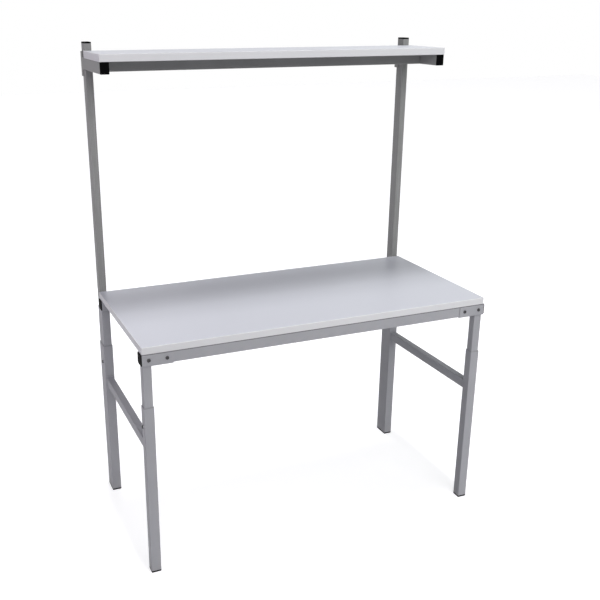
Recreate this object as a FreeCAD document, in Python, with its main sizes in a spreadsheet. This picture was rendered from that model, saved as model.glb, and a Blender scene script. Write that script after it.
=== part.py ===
"""Height-adjustable workbench with a shelf on two uprights.

The worktop rests on a front and a rear rail. The rails lie in U-shaped brackets on four inner legs,
which telescope in two side frames of outer legs and a brace. Two uprights stand behind the worktop
and carry the shelf on arms whose collars slide on the uprights. Millimetres, Z up, X along the front
edge, Y to the rear. The origin is on the floor, under the middle of the whole bench.
"""
import FreeCAD, Part
import os
import Sketcher
from FreeCAD import Placement, Rotation, Vector

# Driving dimensions, each with what it measures.
SIZES = {
    "worktop_width": (1500, "worktop, left to right"),
    "worktop_depth": (700, "worktop, front to rear"),
    "worktop_thickness": (28, "worktop board"),
    "worktop_height": (972, "floor to the top of the worktop"),
    "band_thickness": (2, "plastic edge band of both boards"),
    "band_corner": (4, "corner radius of both boards, seen from above"),
    "band_round": (1.5, "rounding of the edge band's long edges"),
    "rail_size": (45, "square rail tube"),
    "rail_wall": (2, "rail tube wall"),
    "bend_inside": (1, "inside corner radius of every tube"),
    "bracket_wall": (3, "rail bracket sheet"),
    "bracket_bend": (2, "rail bracket, inside bend"),
    "bracket_drop": (4, "worktop down to the upper edges of a bracket"),
    "rail_clearance": (0.25, "rail to each bracket wall"),
    "bolt_inset": (26, "end of the bracket to its outer bolt"),
    "bolt_spacing": (70, "between the two bolts of a bracket"),
    "bolt_edge": (24, "inner bolt to the inner end of the bracket"),
    "rail_cap_thickness": (3, "flange of a rail end cap"),
    "rail_cap_corner": (6, "corners of that flange"),
    "leg_width": (40, "outer leg tube, left to right"),
    "front_leg_depth": (40, "front outer leg tube, front to rear"),
    "rear_leg_depth": (80, "rear outer leg tube, front to rear"),
    "leg_wall": (1.5, "outer leg tube wall"),
    "leg_top": (724.5, "floor to the upper end of the outer leg tubes"),
    "leg_play": (1, "outer leg bore to the inner leg, each side"),
    "inner_leg_wall": (2, "inner leg tube wall"),
    "inner_leg_length": (520, "inner leg tube"),
    "end_plate": (4, "plate that closes the rear inner leg"),
    "brace_width": (30, "side brace, left to right"),
    "brace_height": (40, "side brace, upright size"),
    "brace_wall": (2, "side brace wall"),
    "brace_level": (537, "floor to the underside of the side brace"),
    "foot_height": (8, "foot glide below the leg tube"),
    "foot_round": (2, "rounding of the foot glide's lower edge"),
    "plug_depth": (18, "plug of a cap or foot inside its tube"),
    "plug_wall": (2, "wall of such a plug"),
    "fit_clearance": (0.05, "a fixed plastic piece to its seat"),
    "running_clearance": (0.1, "a sliding face to its guide"),
    "bush_flange": (2.5, "guide bush above the outer leg tube"),
    "bush_length": (40, "guide bush inside the outer leg tube"),
    "guide_corner": (1.5, "corner radius of a guide's opening"),
    "glide_height": (6, "guide plug below the inner leg tube"),
    "clamp_drop": (79.5, "upper end of the outer leg tubes down to their clamp screws"),
    "rear_clamp_shift": (14, "clamp screws of the rear legs, forward of the middle of the tube"),
    "upright_width": (30, "upright tube, left to right"),
    "upright_depth": (50, "upright tube, front to rear"),
    "upright_wall": (2, "upright tube wall"),
    "upright_rise": (27, "upright tube above the top of the shelf"),
    "cap_thickness": (6, "cap on top of an upright"),
    "cap_round": (2.5, "rounding of that cap"),
    "shelf_depth": (280, "shelf, front to rear"),
    "shelf_thickness": (28, "shelf board"),
    "shelf_height": (1974, "floor to the top of the shelf"),
    "board_gap": (5.5, "shelf board to the uprights"),
    "arm_height": (45, "tube of the shelf arms and their cross rail, upright size"),
    "arm_wall": (2, "wall of that tube"),
    "arm_setback": (6, "front edge of the shelf to the arm tubes"),
    "arm_cap_thickness": (3, "flange of an arm's front cap"),
    "cap_edge": (1, "rounding of the flat caps"),
    "cross_rail_setback": (136, "front edge of the shelf to the cross rail"),
    "collar_play": (0.5, "upright to the collar's cheeks and to the arms"),
    "collar_gap": (13, "upright to the collar's web behind it"),
    "collar_wall": (2, "collar sheet"),
    "collar_height": (96, "collar"),
    "collar_rise": (24, "collar above the arms"),
    "cheek_reach": (34, "collar cheeks above and below the arm, from the rear"),
    "cheek_round": (8, "hollow of the cheeks beside the arm"),
    "bolt_diameter": (8, "machine screws"),
    "bolt_hole": (9, "clearance hole for a machine screw"),
    "bolt_end": (3, "screw end past its nut"),
    "head_diameter": (14, "machine screw head"),
    "head_height": (4.4, "machine screw head"),
    "head_round": (2.4, "dome of that head"),
    "socket_width": (5, "hexagon socket in that head, across flats"),
    "socket_depth": (2.6, "hexagon socket"),
    "nut_width": (13, "nut across flats"),
    "nut_height": (6.5, "nut"),
    "nut_gap": (1, "nut to the next wall or plug"),
    "insert_diameter": (11, "threaded insert in its wall"),
    "insert_flange_diameter": (15, "threaded insert outside its wall"),
    "insert_flange": (2, "threaded insert's flange"),
    "thread_clearance": (0.05, "screw to its nut or insert, and insert to its hole"),
    "screw_diameter": (5, "board screws"),
    "screw_length": (20, "board screws below the head"),
    "screw_head_diameter": (9.5, "board screw head"),
    "screw_head_height": (3, "board screw head"),
    "screw_head_slope": (1.5, "bevel of that head"),
    "screw_hole": (5.5, "hole for a board screw in a tube"),
    "pilot_clearance": (0.1, "board screw to its hole in the board"),
    "access_hole": (12, "driver hole below a board screw"),
    "worktop_screw_inner": (180, "middle of a rail to its inner board screws"),
    "worktop_screw_outer": (540, "middle of a rail to its outer board screws"),
    "arm_screw_inset": (40, "ends of an arm to its board screws"),
    "cross_screw_place": (350, "middle of the cross rail to its board screws"),
}

doc = FreeCAD.newDocument("workbench")
dims = doc.addObject("Spreadsheet::Sheet", "dims")
for row, (alias, (millimetres, meaning)) in enumerate(SIZES.items(), start=1):
    dims.set(f"A{row}", meaning)
    dims.set(f"B{row}", str(millimetres))
    dims.setAlias(f"B{row}", alias)
doc.recompute()


class Size:
    """A length and the sheet formula that it comes from, so that arithmetic keeps the binding."""

    def __init__(self, number, formula):
        self.number = number
        self.formula = formula

    def joined(self, sign, other, number):
        return Size(number, f"({self.formula} {sign} {other.formula})")

    def __add__(self, other):
        return self.joined("+", other, self.number + other.number)

    def __sub__(self, other):
        return self.joined("-", other, self.number - other.number)

    def __mul__(self, factor):
        return Size(self.number * factor, f"({self.formula} * {factor})")

    def __truediv__(self, divisor):
        return Size(self.number / divisor, f"({self.formula} / {divisor})")

    def __neg__(self):
        return self * -1


def size(alias):
    return Size(float(SIZES[alias][0]), f"{dims.Name}.{alias}")


zero = Size(0.0, "0")

# Heights, from the worktop down and from the shelf down.
underside = size("worktop_height") - size("worktop_thickness")
rail_bottom = underside - size("rail_size")
rail_level = underside - size("rail_size") / 2
bracket_bottom = rail_bottom - size("bracket_wall")
inner_leg_bottom = bracket_bottom - size("inner_leg_length")
shelf_underside = size("shelf_height") - size("shelf_thickness")
arm_level = shelf_underside - size("arm_height") / 2
collar_bottom = shelf_underside + size("collar_rise") - size("collar_height")
collar_level = collar_bottom + size("collar_height") / 2
upright_top = size("shelf_height") + size("upright_rise")
clamp_level = size("leg_top") - size("clamp_drop")

# Places from left to right: legs, uprights and arms share one line on each side.
half_width = size("worktop_width") / 2
leg_line = half_width - size("leg_width") / 2
bracket_length = size("bolt_inset") + size("bolt_spacing") + size("bolt_edge")
arm_width = size("upright_width") + (size("collar_play") + size("collar_wall")) * 2
arm_inside = leg_line - arm_width / 2

# Places from front to rear. The rear stands out further, so the worktop lies forward of the middle.
rear_stack = size("upright_depth") + size("collar_gap") + size("collar_wall") + size("insert_flange")
worktop_middle = rear_stack / -2
front_rail_line = worktop_middle - size("worktop_depth") / 2 + size("rail_size") / 2
rear_rail_line = worktop_middle + size("worktop_depth") / 2 - size("rail_size") / 2
bracket_inside = size("rail_size") / 2 + size("rail_clearance")
bracket_half = bracket_inside + size("bracket_wall")
upright_front = rear_rail_line + bracket_half
upright_line = upright_front + size("upright_depth") / 2
upright_rear = upright_front + size("upright_depth")
rear_leg_line = upright_rear - size("rear_leg_depth") / 2
front_leg_line = front_rail_line
arm_rear = upright_front - size("collar_play")
collar_rear = upright_rear + size("collar_gap") + size("collar_wall")
shelf_rear = upright_front - size("board_gap")
shelf_front = shelf_rear - size("shelf_depth")
shelf_middle = shelf_rear - size("shelf_depth") / 2
arm_front = shelf_front + size("arm_setback")
arm_length = arm_rear - arm_front
cross_rail_line = shelf_front + size("cross_rail_setback") + arm_width / 2

# Sections of the telescoping tubes.
leg_inset = (size("leg_wall") + size("leg_play")) * 2
inner_leg_width = size("leg_width") - leg_inset

# Where the local X, Y and Z axes of a cap, a screw or a nut point, by the way that it faces.
FACING = {
    "up": Rotation(),
    "down": Rotation(Vector(1, 0, 0), Vector(0, -1, 0), Vector(0, 0, -1), "XYZ"),
    "front": Rotation(Vector(1, 0, 0), Vector(0, 0, 1), Vector(0, -1, 0), "XYZ"),
    "rear": Rotation(Vector(-1, 0, 0), Vector(0, 0, 1), Vector(0, 1, 0), "XYZ"),
    "left": Rotation(Vector(0, -1, 0), Vector(0, 0, 1), Vector(-1, 0, 0), "XYZ"),
    "right": Rotation(Vector(0, 1, 0), Vector(0, 0, 1), Vector(1, 0, 0), "XYZ"),
}

# The sketch plane of a face, the way along its normal to the face, and if a cut follows the normal.
FACE_PLANES = {
    "front": ("XZ_Plane", 1, False),
    "rear": ("XZ_Plane", -1, True),
    "top": ("XY_Plane", 1, False),
    "bottom": ("XY_Plane", -1, True),
    "right": ("YZ_Plane", 1, False),
    "left": ("YZ_Plane", -1, True),
}

# The sketch plane across a tube that runs along an axis, and if the pad runs against the plane's normal.
ACROSS = {"X": ("YZ_Plane", False), "Y": ("XZ_Plane", True), "Z": ("XY_Plane", False)}

SIDES = {"left": -1, "right": 1}
pieces = []


def bind(thing, prop, length):
    thing.setExpression(prop, length.formula)


def place(thing, x, y, z, facing="up"):
    """Turn a piece the way that it faces and tie its place to the sheet."""
    thing.Placement = Placement(Vector(x.number, y.number, z.number), FACING[facing])
    for axis, length in zip("xyz", (x, y, z)):
        bind(thing, f"Placement.Base.{axis}", length)


def new_body(name):
    body = doc.addObject("PartDesign::Body", name)
    body.Label = name
    return body


def sketch_on(body, name, role, offset=None):
    """An empty sketch on one of the body's own origin planes, moved along its normal by an offset."""
    sketch = body.newObject("Sketcher::SketchObject", f"{body.Name}_{name}")
    plane = next(feature for feature in body.Origin.OriginFeatures if feature.Role == role)
    sketch.AttachmentSupport = [(plane, "")]
    sketch.MapMode = "FlatFace"
    if offset is not None:
        bind(sketch, "AttachmentOffset.Base.z", offset)
    return sketch


def measure(sketch, kind, references, length):
    index = sketch.addConstraint(Sketcher.Constraint(kind, *references, length.number))
    bind(sketch, f"Constraints[{index}]", length)


def locate(sketch, geometry, end, along, across):
    """Hold one point of a sketch at its distances from the origin; None keeps it on that axis."""
    for kind, length, axis in (("DistanceX", along, -2), ("DistanceY", across, -1)):
        if length is None or length.number == 0:
            sketch.addConstraint(Sketcher.Constraint("PointOnObject", geometry, end, axis))
        elif length.number > 0:
            measure(sketch, kind, (-1, 1, geometry, end), length)
        else:
            measure(sketch, kind, (geometry, end, -1, 1), -length)


def number_of(length):
    return 0.0 if length is None else length.number


def draw_outline(sketch, corners):
    """A closed polygon through corners that are each held at their own two distances."""
    points = [Vector(number_of(along), number_of(across), 0) for along, across in corners]
    first = sketch.GeometryCount
    count = len(points)
    for index, point in enumerate(points):
        sketch.addGeometry(Part.LineSegment(point, points[(index + 1) % count]), False)
    for index, (along, across) in enumerate(corners):
        following = first + (index + 1) % count
        sketch.addConstraint(Sketcher.Constraint("Coincident", first + index, 2, following, 1))
        locate(sketch, first + index, 1, along, across)


def draw_rounded_rectangle(sketch, width, height, radius):
    """A rectangle with round corners about the origin."""
    right, top, corner = width.number / 2, height.number / 2, radius.number
    normal = Vector(0, 0, 1)
    quarter = 1.5707963267948966
    runs = [(-right + corner, -top, right - corner, -top), (right, -top + corner, right, top - corner),
            (right - corner, top, -right + corner, top), (-right, top - corner, -right, -top + corner)]
    turns = [(right, -top), (right, top), (-right, top), (-right, -top)]
    first = sketch.GeometryCount
    for index, ((x1, y1, x2, y2), (corner_x, corner_y)) in enumerate(zip(runs, turns)):
        start, stop = Vector(x1, y1, 0), Vector(x2, y2, 0)
        sketch.addGeometry(Part.LineSegment(start, stop), False)
        inward_x = -corner if corner_x > 0 else corner
        inward_y = -corner if corner_y > 0 else corner
        centre = Vector(corner_x + inward_x, corner_y + inward_y, 0)
        circle = Part.Circle(centre, normal, corner)
        sketch.addGeometry(Part.ArcOfCircle(circle, (index - 1) * quarter, index * quarter), False)
    for index in range(4):
        line, arc, following = first + 2 * index, first + 2 * index + 1, first + (2 * index + 2) % 8
        sketch.addConstraint(Sketcher.Constraint("Tangent", line, 2, arc, 1))
        sketch.addConstraint(Sketcher.Constraint("Tangent", arc, 2, following, 1))
        direction = "Horizontal" if index % 2 == 0 else "Vertical"
        sketch.addConstraint(Sketcher.Constraint(direction, line))
        if index:
            sketch.addConstraint(Sketcher.Constraint("Equal", first + 1, arc))
    sketch.addConstraint(Sketcher.Constraint("Symmetric", first, 1, first + 4, 1, -1, 1))
    measure(sketch, "Radius", (first + 1,), radius)
    measure(sketch, "DistanceX", (first + 6, 1, first + 2, 1), width)
    measure(sketch, "DistanceY", (first, 1, first + 4, 1), height)


def pad(body, name, sketch, length, against_normal=False):
    feature = body.newObject("PartDesign::Pad", f"{body.Name}_{name}")
    feature.Profile = sketch
    feature.Reversed = against_normal
    bind(feature, "Length", length)
    sketch.Visibility = False
    doc.recompute()
    return feature


def cut(body, name, sketch, depth, along_normal=False):
    """Take the drawn areas out of a body to a depth, or right through if there is none."""
    volume_before = body.Shape.Volume
    pocket = body.newObject("PartDesign::Pocket", f"{body.Name}_{name}_cut")
    pocket.Profile = sketch
    pocket.Reversed = along_normal
    if depth is None:
        pocket.Type = "ThroughAll"
    else:
        bind(pocket, "Length", depth)
    doc.recompute()
    if body.Shape.Volume >= volume_before:
        raise RuntimeError(f"{body.Label}: {name} cut nothing")


def drill(body, name, face, reach, holes, diameter, depth=None):
    """Round holes into a face that lies at reach from the body's origin; no depth goes right through."""
    role, sign, along_normal = FACE_PLANES[face]
    sketch = sketch_on(body, name, role, reach * sign)
    for along, across in holes:
        centre = Vector(number_of(along), number_of(across), 0)
        circle = sketch.addGeometry(Part.Circle(centre, Vector(0, 0, 1), diameter.number / 2), False)
        locate(sketch, circle, 3, along, across)
        measure(sketch, "Diameter", (circle,), diameter)
    cut(body, name, sketch, depth, along_normal)


def edge_names(feature, test):
    edges = enumerate(feature.Shape.Edges, start=1)
    return [f"Edge{number}" for number, edge in edges if test(edge)]


def round_edges(body, feature, test, radius):
    fillet = body.newObject("PartDesign::Fillet", f"{feature.Name}_round")
    fillet.Base = (feature, edge_names(feature, test))
    bind(fillet, "Radius", radius)
    doc.recompute()


def tube(name, axis, width, height, wall, length, x, y, z):
    """A rectangular tube that starts at x, y, z and runs along an axis, its section about that point."""
    body = new_body(name)
    role, against_normal = ACROSS[axis]
    sketch = sketch_on(body, "section", role)
    inside = size("bend_inside")
    draw_rounded_rectangle(sketch, width, height, inside + wall)
    draw_rounded_rectangle(sketch, width - wall * 2, height - wall * 2, inside)
    pad(body, "run", sketch, length, against_normal)
    place(body, x, y, z)
    pieces.append(body)
    return body


def ring(body, name, outer, opening, length, against_normal=False):
    """A padded frame between two rounded rectangles, each given as width, height and corner radius."""
    sketch = sketch_on(body, name, "XY_Plane")
    draw_rounded_rectangle(sketch, *outer)
    draw_rounded_rectangle(sketch, *opening)
    return pad(body, f"{name}_pad", sketch, length, against_normal)


def moulded_cap(name, flange, plug, thickness, rounding, depth):
    """A flange outside a tube's end and a hollow plug inside the tube; the flange's rim may be round.

    flange and plug are width, height and corner radius.
    """
    body = new_body(name)
    sketch = sketch_on(body, "flange", "XY_Plane")
    draw_rounded_rectangle(sketch, *flange)
    plate = pad(body, "plate", sketch, thickness)
    top = thickness.number
    if rounding is not None:
        round_edges(body, plate, lambda edge: edge.BoundBox.ZMin > top / 2, rounding)
    width, height, corner = plug
    wall = size("plug_wall")
    hollow = (width - wall * 2, height - wall * 2, corner)
    ring(body, "plug", plug, hollow, depth, against_normal=True)
    return body


def end_cap(name, facing, flange, plug, thickness, rounding, x, y, z, depth=None):
    """A moulded cap as a piece of its own, in the tube's end at x, y, z."""
    body = moulded_cap(name, flange, plug, thickness, rounding, depth or size("plug_depth"))
    place(body, x, y, z, facing)
    pieces.append(body)


def plug_in(width, height, wall):
    """Section of a plug that fits the bore of a tube."""
    less = (wall + size("fit_clearance")) * 2
    return width - less, height - less, size("bend_inside")


def guide(name, outer, bore, opening, flange, length):
    """A flanged plastic guide: the flange has the tube's outline and the skirt fits the tube's bore."""
    body = new_body(name)
    ring(body, "flange", outer, opening, flange)
    ring(body, "skirt", bore, opening, length, against_normal=True)
    return body


def turned(name, profile):
    """A piece turned about Z from a half section of (radius, height) corners."""
    body = new_body(name)
    sketch = sketch_on(body, "section", "XZ_Plane")
    draw_outline(sketch, profile)
    feature = body.newObject("PartDesign::Revolution", f"{name}_turn")
    feature.Profile = sketch
    feature.ReferenceAxis = (sketch, ["V_Axis"])
    doc.recompute()
    return body


def machine_screw(name, length):
    """A screw with a domed socket head that sits on Z = 0 and a shank that runs down."""
    shank, head, top = size("bolt_diameter") / 2, size("head_diameter") / 2, size("head_height")
    body = turned(name, [(None, -length), (shank, -length), (shank, None), (head, None), (head, top),
                         (None, top)])
    below_rim = top.number - size("head_round").number / 2
    round_edges(body, body.Tip, lambda edge: edge.BoundBox.ZMin > below_rim, size("head_round"))
    half_flats = size("socket_width") / 2
    corner = half_flats * 1.1547
    sketch = sketch_on(body, "socket", "XY_Plane", top)
    draw_outline(sketch, [(corner, None), (corner / 2, half_flats), (-corner / 2, half_flats),
                          (-corner, None), (-corner / 2, -half_flats), (corner / 2, -half_flats)])
    cut(body, "socket", sketch, size("socket_depth"))
    return body


def wood_screw(name):
    """A board screw whose bevelled head sits on Z = 0 and whose shank runs down to a point."""
    shank, head = size("screw_diameter") / 2, size("screw_head_diameter") / 2
    top, slope = size("screw_head_height"), size("screw_head_slope")
    length = size("screw_length")
    return turned(name, [(None, -length), (shank, size("screw_diameter") - length), (shank, None),
                         (head, None), (head, top - slope), (head - slope, top), (None, top)])


def threaded_insert(name, wall):
    """A flanged sleeve through a thin wall, with its flange outside on Z = 0."""
    bore = size("bolt_diameter") / 2 + size("thread_clearance")
    barrel = size("insert_diameter") / 2
    flange = size("insert_flange_diameter") / 2
    profile = [(bore, -wall), (barrel, -wall), (barrel, None), (flange, None),
               (flange, size("insert_flange")), (bore, size("insert_flange"))]
    return turned(name, profile)


def hexagon_nut(name):
    """A plain nut that stands on Z = 0."""
    block = doc.addObject("Part::Prism", f"{name}_block")
    block.Polygon = 6
    block.setExpression("Circumradius", f"{size('nut_width').formula} / 2 / cos(30 deg)")
    bind(block, "Height", size("nut_height"))
    bore = doc.addObject("Part::Cylinder", f"{name}_bore")
    bind(bore, "Radius", size("bolt_diameter") / 2 + size("thread_clearance"))
    bind(bore, "Height", size("nut_height"))
    nut = doc.addObject("Part::Cut", name)
    nut.Base = block
    nut.Tool = bore
    return nut


def group(name, copies):
    """One node of several like solids: copies of a master piece, each with its place and facing."""
    links = []
    for number, (master, x, y, z, facing) in enumerate(copies, start=1):
        link = doc.addObject("App::Link", f"{name}_{number}")
        link.LinkedObject = master
        place(link, x, y, z, facing)
        links.append(link)
    compound = doc.addObject("Part::Compound", name)
    compound.Label = name
    compound.Links = links
    pieces.append(compound)


def board(prefix, width, depth, thickness, x, y, z, screw_places):
    """A laminated board with screw holes in its underside, and the plastic band round its edges."""
    band = size("band_thickness")
    panel = new_body(f"{prefix}_panel")
    core_x, core_y = width / 2 - band, depth / 2 - band
    sketch = sketch_on(panel, "core", "XY_Plane")
    draw_outline(sketch, [(-core_x, -core_y), (core_x, -core_y), (core_x, core_y), (-core_x, core_y)])
    pad(panel, "plate", sketch, thickness)
    pilot = size("screw_diameter") + size("pilot_clearance") * 2
    drill(panel, "screw_holes", "bottom", zero, screw_places, pilot, size("screw_length"))
    edge = new_body(f"{prefix}_edge_band")
    sketch = sketch_on(edge, "strip", "XY_Plane")
    draw_rounded_rectangle(sketch, width, depth, size("band_corner"))
    draw_outline(sketch, [(-core_x, -core_y), (core_x, -core_y), (core_x, core_y), (-core_x, core_y)])
    strip = pad(edge, "run", sketch, thickness)
    beyond_x, beyond_y = core_x.number + band.number / 4, core_y.number + band.number / 4

    def is_outer_rim(candidate):
        box = candidate.BoundBox
        outside = max(-box.XMin, box.XMax) > beyond_x or max(-box.YMin, box.YMax) > beyond_y
        return outside and box.ZLength < band.number

    round_edges(edge, strip, is_outer_rim, size("band_round"))
    for body in (panel, edge):
        place(body, x, y, z)
        pieces.append(body)


def bent_channel(name):
    """A U-shaped channel along X, bent from sheet, with the upper face of its floor at Z = 0."""
    body = new_body(name)
    sketch = sketch_on(body, "section", "YZ_Plane")
    sheet, rim = size("bracket_wall"), size("rail_size") - size("bracket_drop")
    draw_outline(sketch, [(-bracket_half, rim), (-bracket_half, -sheet), (bracket_half, -sheet),
                          (bracket_half, rim), (bracket_inside, rim), (bracket_inside, None),
                          (-bracket_inside, None), (-bracket_inside, rim)])
    channel = pad(body, "channel", sketch, bracket_length)
    shortest, half_sheet = bracket_length.number / 2, sheet.number / 2

    def is_inner_corner(edge):
        return edge.BoundBox.XLength > shortest and abs(edge.BoundBox.ZMax) < half_sheet

    def is_outer_corner(edge):
        return edge.BoundBox.XLength > shortest and edge.BoundBox.ZMax < -half_sheet

    round_edges(body, channel, is_inner_corner, size("bracket_bend"))
    round_edges(body, body.Tip, is_outer_corner, size("bracket_bend") + sheet)
    return body


def bent_collar(name):
    """A U of bent sheet round the rear of an upright, open to the front, about the upright's axis."""
    body = new_body(name)
    sheet, height = size("collar_wall"), size("collar_height")
    cheek, inside = arm_width / 2, arm_width / 2 - sheet
    front = size("upright_depth") / -2 - size("collar_play")
    web = size("upright_depth") / 2 + size("collar_gap")
    rear = web + sheet
    sketch = sketch_on(body, "section", "XY_Plane")
    draw_outline(sketch, [(-cheek, front), (-inside, front), (-inside, web), (inside, web), (inside, front),
                          (cheek, front), (cheek, rear), (-cheek, rear)])
    bent = pad(body, "bent", sketch, height)

    def is_bend(edge, depth):
        return edge.BoundBox.ZLength > height.number / 2 and abs(edge.BoundBox.YMin - depth.number) < 0.01

    round_edges(body, bent, lambda edge: is_bend(edge, web), size("bend_inside"))
    round_edges(body, body.Tip, lambda edge: is_bend(edge, rear), size("bend_inside") + sheet)
    step = rear - size("cheek_reach")
    arm_top = height - size("collar_rise")
    arm_bottom = arm_top - size("arm_height")
    relief = sketch_on(body, "relief", "YZ_Plane", cheek)
    for low, high in ((-sheet, arm_bottom), (arm_top, height + sheet)):
        draw_outline(relief, [(front - sheet, low), (step, low), (step, high), (front - sheet, high)])
    cut(body, "relief", relief, None)

    def is_hollow(edge):
        box = edge.BoundBox
        levels = (arm_bottom.number, arm_top.number)
        return (abs(box.XLength - sheet.number) < 0.01 and abs(box.YMin - step.number) < 0.01
                and any(abs(box.ZMin - level) < 0.01 for level in levels) and box.ZLength < 0.01)

    round_edges(body, body.Tip, is_hollow, size("cheek_round"))
    return body


# Worktop: a board with a band round its edges, screwed to both rails from below.
worktop_screw_lines = [size("worktop_screw_inner"), size("worktop_screw_outer")]
worktop_screw_columns = [-worktop_screw_lines[1], -worktop_screw_lines[0], *worktop_screw_lines]
rail_offset = size("worktop_depth") / 2 - size("rail_size") / 2
worktop_screw_rows = [-rail_offset, rail_offset]
worktop_screw_places = [(column, row) for row in worktop_screw_rows for column in worktop_screw_columns]
board("worktop", size("worktop_width"), size("worktop_depth"), size("worktop_thickness"),
      zero, worktop_middle, underside, worktop_screw_places)

# Rails: square tubes under both long edges, with holes for the bracket bolts and the board screws.
bolt_places = [size("bolt_inset"), size("bolt_inset") + size("bolt_spacing")]
nut_room = size("nut_width") / 2 + size("nut_gap")
upright_bolt_rise = size("rail_size") / 2 - size("rail_wall") - nut_room
upright_inset = half_width - leg_line
upright_bolt_pair = [(upright_inset, upright_bolt_rise), (upright_inset, -upright_bolt_rise)]
outer_bolt_holes = {
    "front": [(bolt_places[0], None), (bolt_places[1], None)],
    "rear": [*upright_bolt_pair, (bolt_places[1], None)],
}
RAILS = {"front": front_rail_line, "rear": rear_rail_line}
for end, line in RAILS.items():
    rail = tube(f"{end}_rail", "X", size("rail_size"), size("rail_size"), size("rail_wall"),
                size("worktop_width"), -half_width, line, rail_level)
    half_rail = size("rail_size") / 2
    wall_cut = size("rail_wall") * 2
    near_end = outer_bolt_holes[end]
    far_end = [(size("worktop_width") - along, across) for along, across in near_end]
    drill(rail, "bolt_holes", end, half_rail, near_end + far_end, size("bolt_hole"), wall_cut)
    screw_row = [(half_width + column, None) for column in worktop_screw_columns]
    drill(rail, "screw_holes", "top", half_rail, screw_row, size("screw_hole"), wall_cut)
    drill(rail, "access_holes", "bottom", half_rail, screw_row, size("access_hole"), wall_cut)

# Brackets: sheet bent to a U on the head of each inner leg, open at the top, with the rail lying in it.
for side, sign in SIDES.items():
    for end, line in RAILS.items():
        bracket = bent_channel(f"{end}_{side}_rail_bracket")
        holes = []
        for along, across in outer_bolt_holes[end]:
            from_start = along if sign < 0 else bracket_length - along
            holes.append((from_start, size("rail_size") / 2 + (across or zero)))
        drill(bracket, "bolt_holes", end, bracket_half, holes, size("bolt_hole"), size("bracket_wall") * 2)
        start = -half_width if sign < 0 else half_width - bracket_length
        place(bracket, start, line, rail_bottom)
        pieces.append(bracket)

# Rail end caps: moulded flanges over the ends of the rails and brackets, with a plug in the bore.
rail_cap_flange = (bracket_half * 2, size("rail_size"), size("rail_cap_corner"))
rail_plug = plug_in(size("rail_size"), size("rail_size"), size("rail_wall"))
rail_plug_depth = upright_inset - nut_room * 1.16
for side, sign in SIDES.items():
    for end, line in RAILS.items():
        end_cap(f"{end}_{side}_rail_cap", side, rail_cap_flange, rail_plug, size("rail_cap_thickness"),
                size("cap_edge"), half_width * sign, line, rail_level, rail_plug_depth)

# Legs: an outer tube with a foot and a guide bush, and an inner tube that slides in it on a guide plug.
LEG_ENDS = {
    "front": (size("front_leg_depth"), front_leg_line),
    "rear": (size("rear_leg_depth"), rear_leg_line),
}
leg_corner = size("bend_inside") + size("leg_wall")
for end, (depth, line) in LEG_ENDS.items():
    inner_depth = depth - leg_inset
    clamp_shift = -size("rear_clamp_shift") if end == "rear" else None
    bore_plug = plug_in(size("leg_width"), depth, size("leg_wall"))
    leg_outline = (size("leg_width"), depth, leg_corner)
    guide_play = size("running_clearance") * 2
    opening = (inner_leg_width + guide_play, inner_depth + guide_play, size("guide_corner"))
    bore_less = size("leg_wall") * 2 + guide_play
    glide_flange = (size("leg_width") - bore_less, depth - bore_less, leg_corner)
    glide_plug = plug_in(inner_leg_width, inner_depth, size("inner_leg_wall"))
    for side, sign in SIDES.items():
        column = leg_line * sign
        inner = tube(f"{end}_{side}_inner_leg", "Z", inner_leg_width, inner_depth,
                     size("inner_leg_wall"), size("inner_leg_length"), column, line, inner_leg_bottom)
        if end == "rear":
            sketch = sketch_on(inner, "end_plate", "XY_Plane", size("inner_leg_length"))
            rounded = size("bend_inside") + size("inner_leg_wall")
            draw_rounded_rectangle(sketch, inner_leg_width, inner_depth, rounded)
            pad(inner, "end_plate_pad", sketch, size("end_plate"), against_normal=True)
        outer = tube(f"{end}_{side}_outer_leg", "Z", size("leg_width"), depth, size("leg_wall"),
                     size("leg_top") - size("foot_height"), column, line, size("foot_height"))
        insert_hole = size("insert_diameter") + size("thread_clearance") * 2
        clamp_place = [(clamp_shift, clamp_level - size("foot_height"))]
        drill(outer, "clamp_hole", side, size("leg_width") / 2, clamp_place, insert_hole,
              size("leg_wall") * 2)
        end_cap(f"{end}_{side}_foot", "down", leg_outline, bore_plug, size("foot_height"),
                size("foot_round"), column, line, size("foot_height"))
        bush = guide(f"{end}_{side}_guide_bush", leg_outline, bore_plug, opening, size("bush_flange"),
                     size("bush_length"))
        place(bush, column, line, size("leg_top"))
        pieces.append(bush)
    glide = moulded_cap(f"{end}_glide", glide_flange, glide_plug, size("glide_height"), None,
                        size("plug_depth"))
    group(f"{end}_inner_leg_glides",
          [(glide, leg_line * sign, line, inner_leg_bottom, "down") for sign in SIDES.values()])

# Braces: one tube between the two outer legs of each side frame.
brace_start = front_leg_line + size("front_leg_depth") / 2
brace_end = rear_leg_line - size("rear_leg_depth") / 2
brace_middle = size("brace_level") + size("brace_height") / 2
for side, sign in SIDES.items():
    tube(f"{side}_brace", "Y", size("brace_width"), size("brace_height"), size("brace_wall"),
         brace_end - brace_start, leg_line * sign, brace_start, brace_middle)

# Leg clamps: a screw in a threaded insert in the outer wall of each leg, which presses on the inner leg.
leg_insert = threaded_insert("leg_insert", size("leg_wall"))
leg_clamp_reach = size("insert_flange") + size("leg_wall") + size("leg_play") - size("running_clearance")
leg_clamp = machine_screw("leg_clamp", leg_clamp_reach)
for side, sign in SIDES.items():
    lines = [front_leg_line, rear_leg_line - size("rear_clamp_shift")]
    wall_face = half_width * sign
    flange_face = (half_width + size("insert_flange")) * sign
    group(f"{side}_leg_clamp_inserts",
          [(leg_insert, wall_face, line, clamp_level, side) for line in lines])
    group(f"{side}_leg_clamp_screws",
          [(leg_clamp, flange_face, line, clamp_level, side) for line in lines])

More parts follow.
